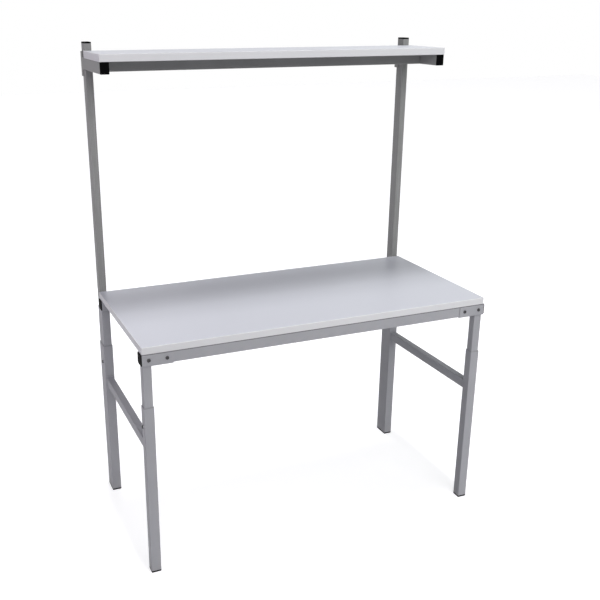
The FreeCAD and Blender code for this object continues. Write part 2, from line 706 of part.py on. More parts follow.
# Uprights: flat tubes behind the worktop, bolted through the rear brackets and closed by a domed cap.
upright_plug = plug_in(size("upright_width"), size("upright_depth"), size("upright_wall"))
upright_corner = size("bend_inside") + size("upright_wall")
upright_outline = (size("upright_width"), size("upright_depth"), upright_corner)
upright_bolt_level = rail_level - bracket_bottom
upright_holes = [(None, upright_bolt_level + upright_bolt_rise * sign) for sign in SIDES.values()]
for side, sign in SIDES.items():
    upright = tube(f"{side}_upright", "Z", size("upright_width"), size("upright_depth"),
                   size("upright_wall"), upright_top - bracket_bottom, leg_line * sign, upright_line,
                   bracket_bottom)
    drill(upright, "bolt_holes", "front", size("upright_depth") / 2, upright_holes, size("bolt_hole"))
    end_cap(f"{side}_upright_cap", "up", upright_outline, upright_plug, size("cap_thickness"),
            size("cap_round"), leg_line * sign, upright_line, upright_top)

# Frame bolts: short ones hold the rails in the brackets, long ones pass through the uprights.
walls_held = size("bracket_wall") + size("rail_clearance") + size("rail_wall")
bolt_run = walls_held + size("nut_height") + size("bolt_end")
rail_bolt = machine_screw("rail_bolt", bolt_run)
upright_bolt = machine_screw("upright_bolt", bolt_run + size("upright_depth"))
rail_nut = hexagon_nut("rail_nut")
bolt_columns = [(half_width - along) * sign for sign in SIDES.values() for along in bolt_places]
inner_columns = [(half_width - bolt_places[1]) * sign for sign in SIDES.values()]
upright_points = [(leg_line * sign, rail_level + upright_bolt_rise * turn)
                  for sign in SIDES.values() for turn in SIDES.values()]
front_bracket_face = front_rail_line - bracket_half
front_nut_face = front_rail_line - size("rail_size") / 2 + size("rail_wall")
rear_nut_face = rear_rail_line + size("rail_size") / 2 - size("rail_wall")
group("front_rail_bolts",
      [(rail_bolt, column, front_bracket_face, rail_level, "front") for column in bolt_columns])
group("rear_rail_bolts",
      [(rail_bolt, column, upright_front, rail_level, "rear") for column in inner_columns])
group("upright_bolts",
      [(upright_bolt, column, upright_rear, level, "rear") for column, level in upright_points])
front_nuts = [(rail_nut, column, front_nut_face, rail_level, "rear") for column in bolt_columns]
rear_nut_points = [(column, rail_level) for column in inner_columns] + upright_points
rear_nuts = [(rail_nut, column, rear_nut_face, level, "front") for column, level in rear_nut_points]
group("rail_nuts", front_nuts + rear_nuts)

# Shelf: a board on two arms and a cross rail, screwed from below.
arm_screw_rows = [arm_front + size("arm_screw_inset"), arm_rear - size("arm_screw_inset")]
arm_screws = [(leg_line * sign, row) for sign in SIDES.values() for row in arm_screw_rows]
cross_screws = [(size("cross_screw_place") * sign, cross_rail_line) for sign in SIDES.values()]
shelf_screw_places = [(column, row - shelf_middle) for column, row in arm_screws + cross_screws]
board("shelf", size("worktop_width"), size("shelf_depth"), size("shelf_thickness"),
      zero, shelf_middle, shelf_underside, shelf_screw_places)
arm_plug = plug_in(arm_width, size("arm_height"), size("arm_wall"))
arm_outline = (arm_width, size("arm_height"), size("bend_inside") + size("arm_wall"))
half_arm = size("arm_height") / 2
arm_wall_cut = size("arm_wall") * 2
for side, sign in SIDES.items():
    arm = tube(f"{side}_shelf_arm", "Y", arm_width, size("arm_height"), size("arm_wall"),
               arm_length, leg_line * sign, arm_front, arm_level)
    places = [(None, row - arm_front) for row in arm_screw_rows]
    drill(arm, "screw_holes", "top", half_arm, places, size("screw_hole"), arm_wall_cut)
    drill(arm, "access_holes", "bottom", half_arm, places, size("access_hole"), arm_wall_cut)
    end_cap(f"{side}_shelf_arm_cap", "front", arm_outline, arm_plug, size("arm_cap_thickness"),
            size("cap_edge"), leg_line * sign, arm_front, arm_level)
cross_rail = tube("shelf_cross_rail", "X", arm_width, size("arm_height"), size("arm_wall"),
                  arm_inside * 2, -arm_inside, cross_rail_line, arm_level)
places = [(arm_inside + column, None) for column, row in cross_screws]
drill(cross_rail, "screw_holes", "top", half_arm, places, size("screw_hole"), arm_wall_cut)
drill(cross_rail, "access_holes", "bottom", half_arm, places, size("access_hole"), arm_wall_cut)

# Collars: sheet bent to a U behind each upright and welded to the end of the arm, with a clamp screw
# in its web. The cheeks reach forward to the arm, and are cut back above and below it.
collar_reach = size("upright_depth") / 2 + size("collar_gap") + size("collar_wall")
collar_insert = threaded_insert("collar_insert", size("collar_wall"))
collar_clamp_depth = size("collar_wall") + size("collar_gap") - size("running_clearance")
collar_clamp = machine_screw("collar_clamp", size("insert_flange") + collar_clamp_depth)
insert_hole = size("insert_diameter") + size("thread_clearance") * 2
for side, sign in SIDES.items():
    collar = bent_collar(f"{side}_shelf_collar")
    clamp_place = [(None, size("collar_height") / 2)]
    drill(collar, "clamp_hole", "rear", collar_reach, clamp_place, insert_hole, size("collar_wall") * 2)
    place(collar, leg_line * sign, upright_line, collar_bottom)
    pieces.append(collar)
columns = [leg_line * sign for sign in SIDES.values()]
insert_face = collar_rear + size("insert_flange")
group("shelf_clamp_inserts",
      [(collar_insert, column, collar_rear, collar_level, "rear") for column in columns])
group("shelf_clamp_screws",
      [(collar_clamp, column, insert_face, collar_level, "rear") for column in columns])

# Board screws: round heads inside the tubes, shanks up into the boards.
board_screw = wood_screw("board_screw")
rail_screw_seat = underside - size("rail_wall")
group("worktop_screws", [(board_screw, column, worktop_middle + row, rail_screw_seat, "down")
                         for column, row in worktop_screw_places])
arm_screw_seat = shelf_underside - size("arm_wall")
group("shelf_screws", [(board_screw, column, row, arm_screw_seat, "down")
                       for column, row in arm_screws + cross_screws])

# Every feature must be worked out and every piece a sound solid before anything is written.
doc.recompute()
for thing in doc.Objects:
    if "Invalid" in thing.State or "Error" in thing.State:
        raise RuntimeError(f"{thing.Label} failed: {thing.State}")
for piece in pieces:
    if piece.Shape.isNull() or not piece.Shape.isValid() or not piece.Shape.Solids:
        raise RuntimeError(f"{piece.Label} is not a sound solid")
os.makedirs("parts", exist_ok=True)
for piece in pieces:
    piece.Shape.exportStep(f"parts/{piece.Label}.step")
print(len(pieces), "pieces written")
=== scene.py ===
import bmesh
import bpy
import numpy as np
from mathutils import Matrix, Vector


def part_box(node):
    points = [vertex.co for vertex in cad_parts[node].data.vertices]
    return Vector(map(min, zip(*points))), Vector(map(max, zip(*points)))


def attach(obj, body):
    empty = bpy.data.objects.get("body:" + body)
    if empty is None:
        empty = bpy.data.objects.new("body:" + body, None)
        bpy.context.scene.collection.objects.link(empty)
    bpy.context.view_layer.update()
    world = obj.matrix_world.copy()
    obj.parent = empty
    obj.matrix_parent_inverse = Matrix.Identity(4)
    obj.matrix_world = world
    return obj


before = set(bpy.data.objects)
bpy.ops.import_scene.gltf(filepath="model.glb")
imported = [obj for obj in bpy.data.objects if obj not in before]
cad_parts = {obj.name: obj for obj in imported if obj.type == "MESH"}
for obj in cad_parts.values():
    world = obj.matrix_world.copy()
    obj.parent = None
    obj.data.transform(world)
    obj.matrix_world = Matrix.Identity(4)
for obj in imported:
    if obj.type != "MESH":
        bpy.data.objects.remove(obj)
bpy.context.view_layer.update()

# ---- Outer legs ----------------------------------------------------------------------------------
# Four steel tubes that stand on plastic feet, the rear pair twice as deep as the front pair.
# Cold-rolled tube, powder coated in satin silver-grey after welding, a little dusty near the floor.

ENDS = ("front", "rear")
SIDES = ("left", "right")

PAINT = ((0.357, 0.358, 0.381, 1.0), (0.385, 0.386, 0.408, 1.0))
PAINT_SHEEN = 0.15
PAINT_ROUGHNESS = (0.40, 0.52)
PAINT_PEEL = 420.0
PAINT_PEEL_DEPTH = 0.00006
PAINT_FLAKE = (0.58, 0.58, 0.60, 1.0)
PAINT_FLAKE_COVER = 0.16
PAINT_DUST = (0.42, 0.41, 0.40, 1.0)
PAINT_DUST_REACH = 0.10
PAINT_DUST_COVER = 0.35
PAINT_DUST_ROUGHNESS = 0.72
CLOUD_GRAIN = 6.5
SPECKS_IN_GRAIN = 2.7
BLOTCH_GRAIN = 38.0


def put(tree, kind, sockets=None, **settings):
    """One node with its settings; a socket takes a plain value or the output that feeds it."""
    node = tree.nodes.new(kind)
    for setting, value in settings.items():
        setattr(node, setting, value)
    for socket, value in (sockets or {}).items():
        if isinstance(value, bpy.types.NodeSocket):
            tree.links.new(value, node.inputs[socket])
        else:
            node.inputs[socket].default_value = value
    return node


def effect(name, inputs, output_names):
    """An empty node group with named sockets: the group, its inputs and its closing node."""
    group = bpy.data.node_groups.new(name, "ShaderNodeTree")
    for label, value in inputs.items():
        kind = "NodeSocketFloat" if isinstance(value, float) else "NodeSocketVector"
        group.interface.new_socket(label, in_out="INPUT", socket_type=kind).default_value = value
    for label in output_names:
        group.interface.new_socket(label, in_out="OUTPUT", socket_type="NodeSocketFloat")
    return group, put(group, "NodeGroupInput").outputs, put(group, "NodeGroupOutput").inputs


def span(tree, value, low, high, start=0.0, end=1.0):
    """A value that runs from start to end, spread from low to high."""
    return put(tree, "ShaderNodeMapRange", {"Value": value, "From Min": start, "From Max": end,
                                            "To Min": low, "To Max": high}).outputs["Result"]


def maths(tree, operation, first, second=0.0):
    """The result of one operation on two values."""
    return put(tree, "ShaderNodeMath", {0: first, 1: second}, operation=operation).outputs[0]


def vector_maths(tree, operation, *vectors):
    """The result of one operation on one or two vectors."""
    vectors = dict(enumerate(vectors))
    return put(tree, "ShaderNodeVectorMath", vectors, operation=operation).outputs[0]


def noise(tree, point, scale, detail=2.0, coarse=0.5):
    """A cloudy value between 0 and 1; coarse is the weight of the finer octaves."""
    return put(tree, "ShaderNodeTexNoise", {"Vector": point, "Scale": scale, "Detail": detail,
                                            "Roughness": coarse}).outputs["Fac"]


def tinted(tree, amount, first, second):
    """The first colour, turned into the second by the amount."""
    return put(tree, "ShaderNodeMix", {0: amount, 6: first, 7: second}, data_type="RGBA").outputs[2]


def between(tree, amount, first, second):
    """The first value, turned into the second by the amount."""
    return put(tree, "ShaderNodeMix", {0: amount, 2: first, 3: second}).outputs[0]


def placed(tree, group, **sockets):
    """A group placed in a material; its outputs, by name."""
    sockets = {label.replace("_", " "): value for label, value in sockets.items()}
    return put(tree, "ShaderNodeGroup", sockets, node_tree=group).outputs


def finish_of(name, metallic=0.0, sheen=0.5):
    """A new material: itself, its nodes, its shader and the place on the piece that its patterns
    follow. Sheen is the strength of its clear reflection."""
    material = bpy.data.materials.new(name)
    material.use_nodes = True
    tree = material.node_tree
    shader = tree.nodes["Principled BSDF"]
    shader.inputs["Metallic"].default_value = metallic
    shader.inputs["Specular IOR Level"].default_value = sheen
    return material, tree, shader, put(tree, "ShaderNodeTexCoord").outputs["Object"]


def lay_on(tree, shader, colour, roughness, relief, depth):
    """Colour, roughness and relief go to the shader; depth is the relief's height in metres."""
    bump = put(tree, "ShaderNodeBump", {"Height": relief, "Distance": depth, "Strength": 1.0})
    tree.links.new(colour, shader.inputs["Base Color"])
    tree.links.new(roughness, shader.inputs["Roughness"])
    tree.links.new(bump.outputs["Normal"], shader.inputs["Normal"])


def with_marks(tree, point, marking, colour, roughness):
    """Colour and roughness, changed where a marking lies, such as wear, dust and painted shade; the
    marking gives a mask, a colour, a roughness.
    """
    if marking is None:
        return colour, roughness
    mask, marked_colour, marked_roughness = marking(tree, point)
    return (tinted(tree, mask, colour, marked_colour),
            between(tree, mask, roughness, marked_roughness))


def dress(material, *names):
    """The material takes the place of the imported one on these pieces."""
    for name in names:
        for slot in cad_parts[name].material_slots:
            slot.material = material


# Relief, slow clouds and fine specks of a sprayed, pressed or moulded skin.
skin, given, out = effect("fine_skin", {"Point": (0.0, 0.0, 0.0), "Grain": 400.0},
                          ("Relief", "Cloud", "Speck"))
speck_grain = maths(skin, "MULTIPLY", given["Grain"], SPECKS_IN_GRAIN)
skin.links.new(noise(skin, given["Point"], given["Grain"], coarse=0.45), out["Relief"])
skin.links.new(noise(skin, given["Point"], CLOUD_GRAIN, detail=3.0), out["Cloud"])
skin.links.new(noise(skin, given["Point"], speck_grain, detail=0.0), out["Speck"])

# Dust and scuffs that thin out above the floor.
dust, given, out = effect("floor_dust", {"Point": (0.0, 0.0, 0.0), "Reach": 0.1}, ("Mask",))
above_floor = put(dust, "ShaderNodeSeparateXYZ", {0: given["Point"]}).outputs["Z"]
low_down = put(dust, "ShaderNodeMapRange",
               {"Value": above_floor, "From Max": given["Reach"], "To Min": 1.0, "To Max": 0.0},
               interpolation_type="SMOOTHSTEP").outputs["Result"]
blotches = noise(dust, given["Point"], BLOTCH_GRAIN, detail=6.0, coarse=0.7)
blotches = span(dust, blotches, 0.0, 1.0, start=0.35, end=0.75)
dust.links.new(maths(dust, "MULTIPLY", low_down, blotches), out["Mask"])


def powder_coat(name, shades, marking=None):
    """Satin paint in two close shades with orange peel and pale flakes."""
    material, tree, shader, point = finish_of(name, sheen=PAINT_SHEEN)
    look = placed(tree, skin, Point=point, Grain=PAINT_PEEL)
    colour = tinted(tree, span(tree, look["Cloud"], 0.0, 1.0, start=0.3, end=0.7), *shades)
    flakes = span(tree, look["Speck"], 0.0, PAINT_FLAKE_COVER, start=0.55, end=0.8)
    colour = tinted(tree, flakes, colour, PAINT_FLAKE)
    roughness = span(tree, look["Cloud"], *PAINT_ROUGHNESS)
    colour, roughness = with_marks(tree, point, marking, colour, roughness)
    lay_on(tree, shader, colour, roughness, look["Relief"], PAINT_PEEL_DEPTH)
    return material


def dusty(tree, point):
    """Floor dust on the lower ends of the legs."""
    mask = placed(tree, dust, Point=point, Reach=PAINT_DUST_REACH)["Mask"]
    return maths(tree, "MULTIPLY", mask, PAINT_DUST_COVER), PAINT_DUST, PAINT_DUST_ROUGHNESS


leg_paint = powder_coat("leg_paint", PAINT, dusty)
dress(leg_paint, *(f"{end}_{side}_outer_leg" for end in ENDS for side in SIDES))

# ---- Feet ----------------------------------------------------------------------------------------
# A black polyethylene glide closes the lower end of each leg and is pressed into the tube.
# Injection moulded with a fine eroded grain; the lower rim is scuffed and dusty.

BLACK = (0.0010, 0.0010, 0.0012, 1.0)
BLACK_BLOOM = (0.0024, 0.0024, 0.0028, 1.0)
BLACK_SHEEN = 0.02
BLACK_ROUGHNESS = (0.55, 0.70)
BLACK_GRAIN = 1300.0
BLACK_GRAIN_DEPTH = 0.00008
BLACK_DUST = (0.06, 0.058, 0.055, 1.0)
BLACK_DUST_REACH = 0.012
BLACK_DUST_COVER = 0.6
BLACK_DUST_ROUGHNESS = 0.8


def black_moulding(name, marking=None):
    """Black plastic with a moulded grain and a faint grey bloom."""
    material, tree, shader, point = finish_of(name, sheen=BLACK_SHEEN)
    look = placed(tree, skin, Point=point, Grain=BLACK_GRAIN)
    bloom = span(tree, look["Cloud"], 0.0, 1.0, start=0.35, end=0.7)
    colour = tinted(tree, bloom, BLACK, BLACK_BLOOM)
    roughness = span(tree, look["Speck"], *BLACK_ROUGHNESS)
    colour, roughness = with_marks(tree, point, marking, colour, roughness)
    lay_on(tree, shader, colour, roughness, look["Relief"], BLACK_GRAIN_DEPTH)
    return material


def scuffed(tree, point):
    """Scuffs and floor dust on the lower rims of the feet."""
    mask = placed(tree, dust, Point=point, Reach=BLACK_DUST_REACH)["Mask"]
    return maths(tree, "MULTIPLY", mask, BLACK_DUST_COVER), BLACK_DUST, BLACK_DUST_ROUGHNESS


foot_plastic = black_moulding("foot_plastic", scuffed)
dress(foot_plastic, *(f"{end}_{side}_foot" for end in ENDS for side in SIDES))

# ---- Guide bushes and glides ---------------------------------------------------------------------
# Grey nylon bushes line the mouths of the outer legs; plugs of the same nylon guide the inner legs.
# Injection moulded and pressed in, with a dull sheen where they rub.

NYLON = (0.235, 0.237, 0.245, 1.0)
NYLON_PALE = (0.290, 0.292, 0.300, 1.0)
NYLON_ROUGHNESS = (0.40, 0.60)
NYLON_GRAIN = 900.0
NYLON_GRAIN_DEPTH = 0.00006

nylon, tree, shader, point = finish_of("grey_nylon")
look = placed(tree, skin, Point=point, Grain=NYLON_GRAIN)
lay_on(tree, shader, tinted(tree, look["Cloud"], NYLON, NYLON_PALE),
       span(tree, look["Speck"], *NYLON_ROUGHNESS), look["Relief"], NYLON_GRAIN_DEPTH)
dress(nylon, *(f"{end}_{side}_guide_bush" for end in ENDS for side in SIDES))
dress(nylon, *(f"{end}_inner_leg_glides" for end in ENDS))

# ---- Side braces and their weld seams ------------------------------------------------------------
# A flat tube ties the front leg to the rear leg on each side and makes one welded frame of them.
# It butts against the leg faces; a rippled fillet seam runs right round each end, painted over.

TUBE_BEND = 0.003
CORNER_POINTS = 24
BRACE_SEAM = 0.0030
SEAM_ROOT = 0.0005
SEAM_BULGE = 0.8
SEAM_ACROSS = 8
ROUND_SEAM_STEPS = 421
RIPPLE = 0.0021
RIPPLE_LOW = 0.90
RIPPLE_RISE = 0.16
RIPPLE_LAG = 0.8
RIGHT, REAR, UP = np.eye(3)

frame_paint = powder_coat("frame_paint", PAINT)
dress(frame_paint, *(f"{side}_brace" for side in SIDES))


def run_along(line):
    """How far along a line each of its points lies."""
    return np.concatenate([[0.0], np.cumsum(np.linalg.norm(np.diff(line, axis=0), axis=1))])


def tube_outline(width, depth, bend, count):
    """Evenly spaced points round a tube with rounded corners, from the middle of its far side, and
    their outward directions. A corner's point is its centre plus the bend times the direction."""
    angle = np.pi / 2 + (np.arange(4 * CORNER_POINTS) + 0.5) * np.pi / (2 * CORNER_POINTS)
    outward = np.stack([np.cos(angle), np.sin(angle)], 1)
    ring = np.sign(outward) * (np.array([width, depth]) / 2 - bend) + bend * outward
    ring = np.concatenate([[[0.0, depth / 2]], ring, [[0.0, depth / 2]]])
    outward = np.concatenate([[[0.0, 1.0]], outward, [[0.0, 1.0]]])
    along = run_along(ring)
    even = np.linspace(0.0, along[-1], count)
    points = np.stack([np.interp(even, along, ring[:, axis]) for axis in (0, 1)], 1)
    outward = np.stack([np.interp(even, along, outward[:, axis]) for axis in (0, 1)], 1)
    return points, outward / np.linalg.norm(outward, axis=1, keepdims=True)


def carried(flat, first, second, origin=(0.0, 0.0, 0.0)):
    """Flat points or directions (u, v), laid out in space: origin + u * first + v * second."""
    return flat[:, :1] * first + flat[:, 1:] * second + np.asarray(origin)


def fillet_seam(line, outward, onward, leg, closed):
    """Points and faces of a weld seam along a line in the corner between a plate and a tube.
    point(s, t) = line(s) + p(s, t) * outward + q(s, t) * onward, where p and q go round a bulged
    quarter from the plate to the tube, swell in crescents at each ripple and taper at open ends."""
    along = run_along(line)
    t = np.linspace(0.0, np.pi / 2, SEAM_ACROSS)
    ripples = round(along[-1] / RIPPLE)
    phase = np.pi * ripples * along[:, None] / along[-1] + RIPPLE_LAG * np.sin(2 * t)
    swell = leg * (RIPPLE_LOW + RIPPLE_RISE * np.abs(np.sin(phase)))
    if not closed:
        run_in = np.clip(np.minimum(along, along[-1] - along) / leg, 0.0, 1.0)
        swell = swell * np.sqrt(run_in * (2.0 - run_in))[:, None]
    root = np.full((len(line), 1), -SEAM_ROOT)
    p = np.concatenate([root + (swell + SEAM_ROOT) * np.cos(t) ** SEAM_BULGE, root], 1)
    q = np.concatenate([root + (swell + SEAM_ROOT) * np.sin(t) ** SEAM_BULGE, root], 1)
    points = line[:, None] + p[..., None] * outward[:, None] + q[..., None] * onward
    rows, columns = len(line) - closed, p.shape[1]
    row, column = np.arange(len(line) - 1)[:, None], np.arange(columns)
    after, beside = (row + 1) % rows, (column + 1) % columns
    faces = np.stack([row * columns + column, after * columns + column,
                      after * columns + beside, row * columns + beside], -1).reshape(-1, 4).tolist()
    if not closed:
        faces += [list(range(columns)), list(range((rows - 1) * columns, rows * columns))]
    return points[:rows].reshape(-1, 3), faces


def seams_piece(name, seams, body, paint):
    """One painted mesh of several seams, its faces turned outwards, riding on its body."""
    bm = bmesh.new()
    for points, faces in seams:
        part = bpy.data.meshes.new(name)
        part.from_pydata(points.tolist(), [], faces)
        bm.from_mesh(part)
        bpy.data.meshes.remove(part)
    bmesh.ops.recalc_face_normals(bm, faces=bm.faces)
    mesh = bpy.data.meshes.new(name)
    bm.to_mesh(mesh)
    bm.free()
    mesh.shade_smooth()
    mesh.materials.append(paint)
    piece = bpy.data.objects.new(name, mesh)
    bpy.context.scene.collection.objects.link(piece)
    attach(piece, body)


for side in SIDES:
    low, high = (np.array(corner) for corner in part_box(f"{side}_brace"))
    middle = (low + high) / 2
    outline, outward = tube_outline(high[0] - low[0], high[2] - low[2], TUBE_BEND, ROUND_SEAM_STEPS)
    outward = carried(outward, RIGHT, UP)
    seams = []
    for end, onward in ((low[1], REAR), (high[1], -REAR)):
        line = carried(outline, RIGHT, UP, (middle[0], end, middle[2]))
        seams.append(fillet_seam(line, outward, onward, BRACE_SEAM, True))
    seams_piece(f"{side}_brace_seams", seams, f"{side}_leg_frame", frame_paint)

# ---- Leg clamp screws ----------------------------------------------------------------------------
# A socket-head screw in each outer leg, turned in a threaded insert, presses on the inner leg.
# Cold-headed steel, blackened; the inserts are zinc-plated steel, set in the tube wall.

BLACKENED = (0.050, 0.050, 0.053, 1.0)
BLACKENED_METAL = 0.85
BLACKENED_ROUGHNESS = (0.34, 0.50)
BLACKENED_GRAIN = 1600.0
BLACKENED_GRAIN_DEPTH = 0.00003
BLACKENED_RUB = (0.115, 0.112, 0.110, 1.0)
BLACKENED_RUB_GRAIN = 260.0
BLACKENED_RUB_COVER = 0.8
ZINC = (0.60, 0.61, 0.63, 1.0)
ZINC_ROUGHNESS = (0.26, 0.44)
ZINC_GRAIN = 700.0
ZINC_GRAIN_DEPTH = 0.00002
ZINC_DULL = (0.47, 0.48, 0.50, 1.0)
ZINC_DULL_GRAIN = 120.0

blackened_steel, tree, shader, point = finish_of("blackened_steel", metallic=BLACKENED_METAL)
look = placed(tree, skin, Point=point, Grain=BLACKENED_GRAIN)
rubbed = noise(tree, point, BLACKENED_RUB_GRAIN, detail=4.0, coarse=0.6)
rubbed = span(tree, rubbed, 0.0, BLACKENED_RUB_COVER, start=0.48, end=0.75)
lay_on(tree, shader, tinted(tree, rubbed, BLACKENED, BLACKENED_RUB),
       span(tree, look["Speck"], *BLACKENED_ROUGHNESS), look["Relief"], BLACKENED_GRAIN_DEPTH)

zinc_steel, tree, shader, point = finish_of("zinc_steel", metallic=1.0)
look = placed(tree, skin, Point=point, Grain=ZINC_GRAIN)
dull = noise(tree, point, ZINC_DULL_GRAIN, detail=4.0, coarse=0.6)
lay_on(tree, shader, tinted(tree, dull, ZINC, ZINC_DULL),
       span(tree, look["Speck"], *ZINC_ROUGHNESS), look["Relief"], ZINC_GRAIN_DEPTH)

dress(blackened_steel, *(f"{side}_leg_clamp_screws" for side in SIDES))
dress(zinc_steel, *(f"{side}_leg_clamp_inserts" for side in SIDES))

# ---- Inner legs ----------------------------------------------------------------------------------
# Smaller tubes that telescope out of the outer legs and carry the bench; painted like them.
# The bushes leave fine upright rub marks in the satin of the paint.

RUBBED_PAINT = (0.50, 0.50, 0.515, 1.0)
RUBBED_COVER = 0.45
RUBBED_ROUGHNESS = 0.33
RUBBED_STRETCH = (420.0, 420.0, 5.0)

# Long fine marks, drawn out along one direction of the piece.
streaks, given, out = effect("rub_streaks", {"Point": (0.0, 0.0, 0.0), "Stretch": (1.0, 1.0, 1.0)},
                             ("Mask",))
drawn_out = vector_maths(streaks, "MULTIPLY", given["Point"], given["Stretch"])
marks = noise(streaks, drawn_out, 1.0, detail=3.0, coarse=0.6)
streaks.links.new(span(streaks, marks, 0.0, 1.0, start=0.52, end=0.78), out["Mask"])


def rubbed_upright(tree, point):
    """Marks of a piece that slides up and down."""
    mask = placed(tree, streaks, Point=point, Stretch=RUBBED_STRETCH)["Mask"]
    return maths(tree, "MULTIPLY", mask, RUBBED_COVER), RUBBED_PAINT, RUBBED_ROUGHNESS


sliding_paint = powder_coat("sliding_paint", PAINT, rubbed_upright)
dress(sliding_paint, *(f"{end}_{side}_inner_leg" for end in ENDS for side in SIDES))

# ---- Rail brackets and their weld seams ----------------------------------------------------------
# A U of bent sheet steel on the head of each inner leg holds the end of a rail.
# It is welded to the leg from below: all round in front, on three sides at the rear.

HEAD_SEAM = 0.0023
REAR_SEAM_REACH = 0.0375

dress(frame_paint, *(f"{end}_{side}_rail_bracket" for end in ENDS for side in SIDES))
seams = []
for side in SIDES:
    for end in ENDS:
        low, high = (np.array(corner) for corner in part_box(f"{end}_{side}_inner_leg"))
        middle = (low + high) / 2
        outline, outward = tube_outline(high[0] - low[0], high[1] - low[1], TUBE_BEND,
                                        ROUND_SEAM_STEPS)
        if end == "rear":
            girth = run_along(outline)[-1]
            kept = np.abs(np.linspace(-0.5, 0.5, ROUND_SEAM_STEPS) * girth) < REAR_SEAM_REACH
            outline, outward = outline[kept], outward[kept]
        line = carried(outline, RIGHT, REAR, (middle[0], middle[1], high[2]))
        outward = carried(outward, RIGHT, REAR)
        seams.append(fillet_seam(line, outward, -UP, HEAD_SEAM, end == "front"))
seams_piece("leg_head_seams", seams, "bench", frame_paint)

# ---- Rails, their caps and fasteners -------------------------------------------------------------
# Two square steel tubes under the worktop, bolted through the brackets, painted like the frame.
# Black moulded caps close the ends; the socket-head bolts are blackened, the nuts zinc-plated.

# Painted shade: a dark, rougher strip along the top of each rail, where the board's edge shades the
# joint.
JOINT_SHADE = (0.035, 0.034, 0.034, 1.0)
JOINT_SHADE_COVER = 0.6
JOINT_SHADE_ROUGHNESS = 0.85
JOINT_SHADE_GRAIN = 55.0
JOINT_START = 0.0045
JOINT_END = 0.0015

rail_top = float(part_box("front_rail")[1][2])


def shaded_joint(tree, point):
    """Painted shade: a dark line in the narrow joint between the rail's rounded top corners and the
    board.
    """
    height = put(tree, "ShaderNodeSeparateXYZ", {0: point}).outputs["Z"]
    near_top = span(tree, height, 0.0, JOINT_SHADE_COVER,
                    start=rail_top - JOINT_START, end=rail_top - JOINT_END)
    patches = noise(tree, point, JOINT_SHADE_GRAIN, detail=4.0, coarse=0.6)
    patches = span(tree, patches, 0.75, 1.0, start=0.35, end=0.6)
    return maths(tree, "MULTIPLY", near_top, patches), JOINT_SHADE, JOINT_SHADE_ROUGHNESS


dress(powder_coat("rail_paint", PAINT, shaded_joint), "front_rail", "rear_rail")
cap_plastic = black_moulding("cap_plastic")
dress(cap_plastic, *(f"{end}_{side}_rail_cap" for end in ENDS for side in SIDES))
dress(blackened_steel, "front_rail_bolts", "rear_rail_bolts")
dress(zinc_steel, "rail_nuts")

# ---- Worktop -------------------------------------------------------------------------------------
# Chipboard pressed between two sheets of pale satin laminate, screwed down on the rails.
# A plastic band in a matching pale shade is glued round its edge and milled to a soft radius.

LAMINATE = (0.518, 0.528, 0.576, 1.0)
LAMINATE_PALE = (0.535, 0.545, 0.592, 1.0)
LAMINATE_SHEEN = 0.1
LAMINATE_ROUGHNESS = (0.36, 0.46)
LAMINATE_GRAIN = 750.0
LAMINATE_GRAIN_DEPTH = 0.00004
WIPE_STRETCH = (2.2, 26.0, 26.0)
WIPE_COVER = 0.5
WIPE_ROUGHNESS = 0.30
BAND = (0.682, 0.682, 0.698, 1.0)
BAND_PALE = (0.706, 0.706, 0.720, 1.0)
BAND_SHEEN = 0.3
BAND_ROUGHNESS = (0.40, 0.52)
BAND_GRAIN = 1100.0
BAND_GRAIN_DEPTH = 0.00004
GLUE = (0.36, 0.35, 0.34, 1.0)
GLUE_COVER = 0.8
GLUE_WIDTH = 0.0003

laminate, tree, shader, point = finish_of("pale_laminate", sheen=LAMINATE_SHEEN)
look = placed(tree, skin, Point=point, Grain=LAMINATE_GRAIN)
wiped = placed(tree, streaks, Point=point, Stretch=WIPE_STRETCH)["Mask"]
lay_on(tree, shader, tinted(tree, look["Cloud"], LAMINATE, LAMINATE_PALE),
       between(tree, maths(tree, "MULTIPLY", wiped, WIPE_COVER),
               span(tree, look["Cloud"], *LAMINATE_ROUGHNESS), WIPE_ROUGHNESS),
       look["Relief"], LAMINATE_GRAIN_DEPTH)

# The hairline of glue between the laminate and the band, on the inner edge of a board's rim.
glue_line, given, out = effect("glue_line", {"Point": (0.0, 0.0, 0.0), "Middle": (0.0, 0.0, 0.0),
                                             "Half Size": (1.0, 1.0, 1.0)}, ("Mask",))
from_middle = vector_maths(glue_line, "SUBTRACT", given["Point"], given["Middle"])
folded = vector_maths(glue_line, "ABSOLUTE", from_middle)
past_rim = vector_maths(glue_line, "SUBTRACT", folded, given["Half Size"])
past_rim = put(glue_line, "ShaderNodeSeparateXYZ", {0: past_rim}).outputs
past_rim = maths(glue_line, "MAXIMUM", past_rim["X"], past_rim["Y"])
glue_line.links.new(span(glue_line, past_rim, 1.0, 0.0, end=GLUE_WIDTH), out["Mask"])


def edge_band(name, board):
    """The band's plastic, with the glue line of its board."""
    low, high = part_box(board)
    material, tree, shader, point = finish_of(name, sheen=BAND_SHEEN)
    look = placed(tree, skin, Point=point, Grain=BAND_GRAIN)
    colour = tinted(tree, look["Cloud"], BAND, BAND_PALE)
    line = placed(tree, glue_line, Point=point, Middle=(low + high) / 2, Half_Size=(high - low) / 2)
    colour = tinted(tree, maths(tree, "MULTIPLY", line["Mask"], GLUE_COVER), colour, GLUE)
    lay_on(tree, shader, colour, span(tree, look["Speck"], *BAND_ROUGHNESS),
           look["Relief"], BAND_GRAIN_DEPTH)
    return material


dress(laminate, "worktop_panel")
dress(edge_band("worktop_band", "worktop_panel"), "worktop_edge_band")
dress(zinc_steel, "worktop_screws")

# ---- Uprights ------------------------------------------------------------------------------------
# Two flat tubes that stand on the heads of the rear legs, bolted through to the rear rail.
# Painted a darker, plainer grey than the legs as painted shade, with the collars' rub marks, and
# closed by black moulded caps.

